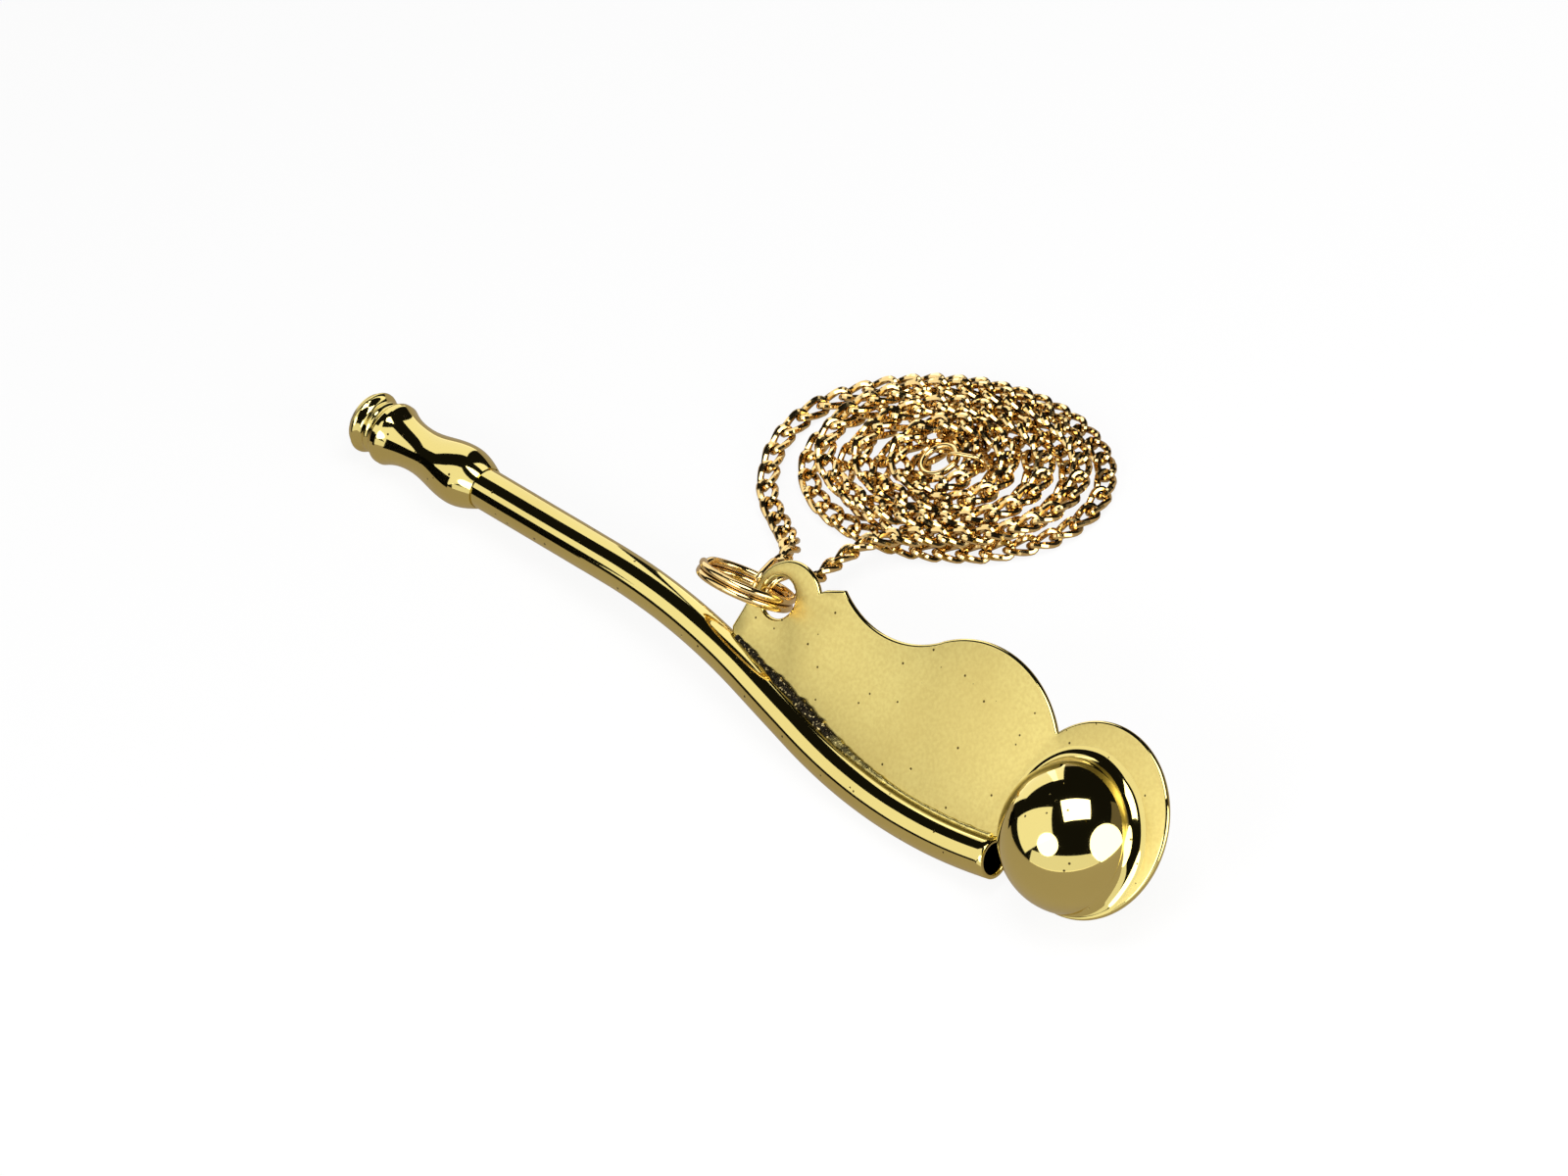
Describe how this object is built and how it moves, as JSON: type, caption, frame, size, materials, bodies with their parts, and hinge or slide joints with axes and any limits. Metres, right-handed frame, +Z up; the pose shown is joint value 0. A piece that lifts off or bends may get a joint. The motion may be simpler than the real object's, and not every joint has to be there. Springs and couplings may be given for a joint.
{
  "type": "boatswain call",
  "caption": "Brass boatswain call: a curved gun tube on a flat keel blows across a hollow ball, with a turned mouthpiece, a split ring and a coiled neck chain.",
  "frame": {"origin": "on the table, under the middle of the call's box", "axes": "+X from the mouthpiece to the ball, +Z up from the table, +Y towards the chain pile"},
  "size_m": [0.1282, 0.0587, 0.0184],
  "materials": {
    "polished_brass": "polished",
    "solder_bead": "rough",
    "gilt_wire": "polished"
  },
  "bodies": {
    "call": {"mouthpiece": "polished_brass", "gun": "polished_brass", "keel": "polished_brass", "buoy_front_shell": "polished_brass", "buoy_rear_shell": "polished_brass", "gun_seam_front": "solder_bead", "gun_seam_rear": "solder_bead", "buoy_seam_front": "solder_bead", "buoy_seam_rear": "solder_bead", "chain_left_stretch": "gilt_wire", "chain_pile": "gilt_wire", "chain_right_stretch": "gilt_wire", "clasp_link": "gilt_wire"},
    "split_ring": {"split_ring": "gilt_wire"},
    "left_end_link": {"left_end_link": "gilt_wire"},
    "right_end_link": {"right_end_link": "gilt_wire"},
    "clasp_ring": {"clasp_ring": "gilt_wire"}
  },
  "joints": [
    {"name": "ring_turn", "type": "hinge", "parent": "call", "child": "split_ring", "pos_m": [-0.00536, 0.00273, 0.01091], "axis": [-0.0297, 0.7599, 0.6494], "continuous": true},
    {"name": "left_link_swing", "type": "hinge", "parent": "call", "child": "left_end_link", "pos_m": [-0.00722, 0.00601, 0.00698], "axis": [0.9392, 0.2435, -0.242], "range_deg": [-25, 35], "deforming": ["chain_left_stretch"]},
    {"name": "right_link_swing", "type": "hinge", "parent": "call", "child": "right_end_link", "pos_m": [-0.0046, 0.00625, 0.00682], "axis": [0.9899, -0.0679, 0.1248], "range_deg": [-25, 35], "deforming": ["chain_right_stretch"]},
    {"name": "clasp_lift", "type": "hinge", "parent": "call", "child": "clasp_ring", "pos_m": [-0.00437, 0.03417, 0.00345], "axis": [-0.3907, 0.9205, 0], "range_deg": [0, 70]}
  ]
}
